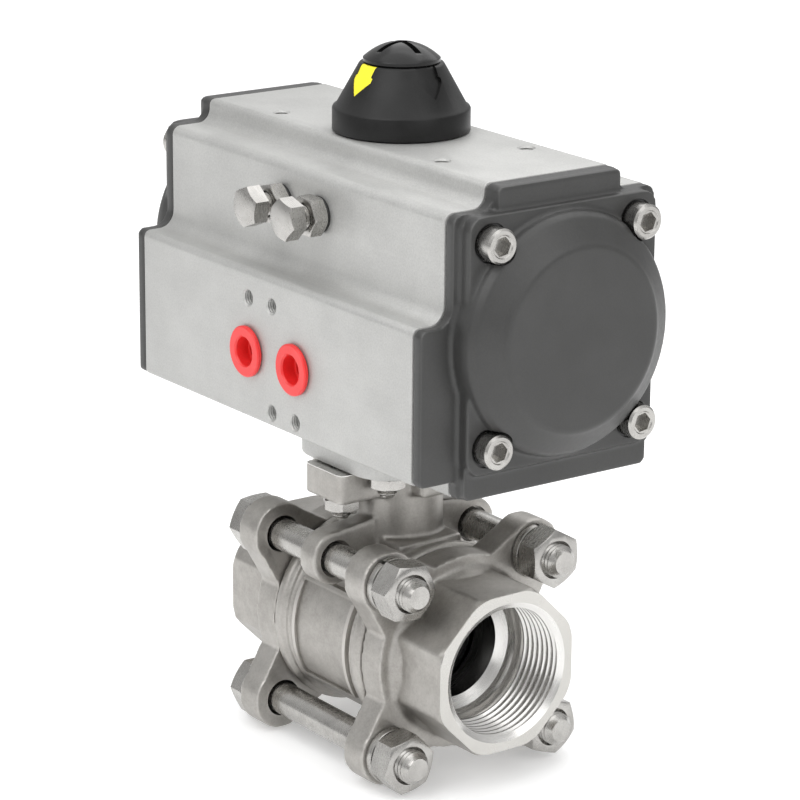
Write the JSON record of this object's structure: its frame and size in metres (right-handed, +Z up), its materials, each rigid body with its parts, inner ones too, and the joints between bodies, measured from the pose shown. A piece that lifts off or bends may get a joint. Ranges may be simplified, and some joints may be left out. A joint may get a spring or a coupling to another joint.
{
  "type": "pneumatic actuated ball valve",
  "caption": "Quarter-turn ball valve with threaded pipe ends, turned by a double-acting rack-and-pinion air actuator.",
  "frame": {"origin": "centre of the bottom of the overall box, on the surface that the part stands on", "axes": "+Z up along the valve stem, X along the pipe and the actuator, -Y towards the air ports"},
  "size_m": [0.172, 0.0852, 0.2141],
  "materials": {
    "anodised_aluminium": "fine-blasted clear anodised",
    "coated_cover": "semi-gloss grey coating on cast aluminium",
    "cast_stainless": "bead-blasted investment casting with machined ends",
    "bright_steel": "bright stainless steel",
    "black_plastic": "satin moulded",
    "yellow_plastic": "satin moulded",
    "red_plastic": "semi-gloss moulded",
    "white_polymer": "waxy sealing polymer",
    "rubber": "matte rubber"
  },
  "bodies": {
    "root": {"actuator_housing": "anodised_aluminium", "adapter_plate": "anodised_aluminium", "end_cover_right": "coated_cover", "end_cover_left": "coated_cover", "cover_screw_right_1": "bright_steel", "cover_screw_left_1": "bright_steel", "body_bolt_1": "bright_steel", "body_nut_1": "bright_steel", "ear_stud_1": "bright_steel", "plate_stud_1": "bright_steel", "cover_screw_right_2": "bright_steel", "cover_screw_left_2": "bright_steel", "body_bolt_2": "bright_steel", "body_nut_2": "bright_steel", "ear_stud_2": "bright_steel", "plate_stud_2": "bright_steel", "cover_screw_right_3": "bright_steel", "cover_screw_left_3": "bright_steel", "body_bolt_3": "bright_steel", "body_nut_3": "bright_steel", "plate_stud_3": "bright_steel", "cover_screw_right_4": "bright_steel", "cover_screw_left_4": "bright_steel", "body_bolt_4": "bright_steel", "body_nut_4": "bright_steel", "plate_stud_4": "bright_steel", "stop_nut_left": "bright_steel", "stop_nut_right": "bright_steel", "gland_ring": "bright_steel", "upper_bearing": "white_polymer", "lower_bearing": "white_polymer", "seat_ring_right": "white_polymer", "seat_ring_left": "white_polymer", "body_gasket_right": "white_polymer", "body_gasket_left": "white_polymer", "thrust_washer": "white_polymer", "stem_packing": "white_polymer", "valve_body": "cast_stainless", "end_cap_right": "cast_stainless", "end_cap_left": "cast_stainless"},
    "drive_train": {"pinion": "bright_steel", "stop_cam": "bright_steel", "retaining_ring": "bright_steel", "indicator_cap": "black_plastic", "indicator_insert": "yellow_plastic", "indicator_screw": "black_plastic", "valve_stem": "bright_steel", "ball": "bright_steel", "stem_nut": "bright_steel", "disc_spring": "bright_steel"},
    "right_piston": {"piston_right": "anodised_aluminium", "piston_seal_right": "rubber"},
    "left_piston": {"piston_left": "anodised_aluminium", "piston_seal_left": "rubber"},
    "right_stop": {"stop_screw_right": "bright_steel"},
    "left_stop": {"stop_screw_left": "bright_steel"},
    "right_plug": {"port_plug_right": "red_plastic"},
    "left_plug": {"port_plug_left": "red_plastic"}
  },
  "joints": [
    {"name": "valve_turn", "type": "hinge", "parent": "root", "child": "drive_train", "pos_m": [0, 0.00625, 0.1442], "axis": [0, 0, 1], "range_deg": [0, 90]},
    {"name": "right_piston_slide", "type": "slide", "parent": "root", "child": "right_piston", "axis": [1, 0, 0], "range_m": [0, 0.0212]},
    {"name": "left_piston_slide", "type": "slide", "parent": "root", "child": "left_piston", "axis": [-1, 0, 0], "range_m": [0, 0.0213]},
    {"name": "right_stop_adjust", "type": "slide", "parent": "root", "child": "right_stop", "axis": [0, -1, 0], "range_m": [0, 0.004]},
    {"name": "left_stop_adjust", "type": "slide", "parent": "root", "child": "left_stop", "axis": [0, -1, 0], "range_m": [0, 0.004]},
    {"name": "right_plug_pull", "type": "slide", "parent": "root", "child": "right_plug", "axis": [0, -1, 0], "range_m": [0, 0.02]},
    {"name": "left_plug_pull", "type": "slide", "parent": "root", "child": "left_plug", "axis": [0, -1, 0], "range_m": [0, 0.02]}
  ],
  "couplings": [
    {"joint": "valve_turn", "follows": "right_piston_slide", "rad_per_m": 74.074},
    {"joint": "left_piston_slide", "follows": "right_piston_slide", "ratio": 1}
  ]
}
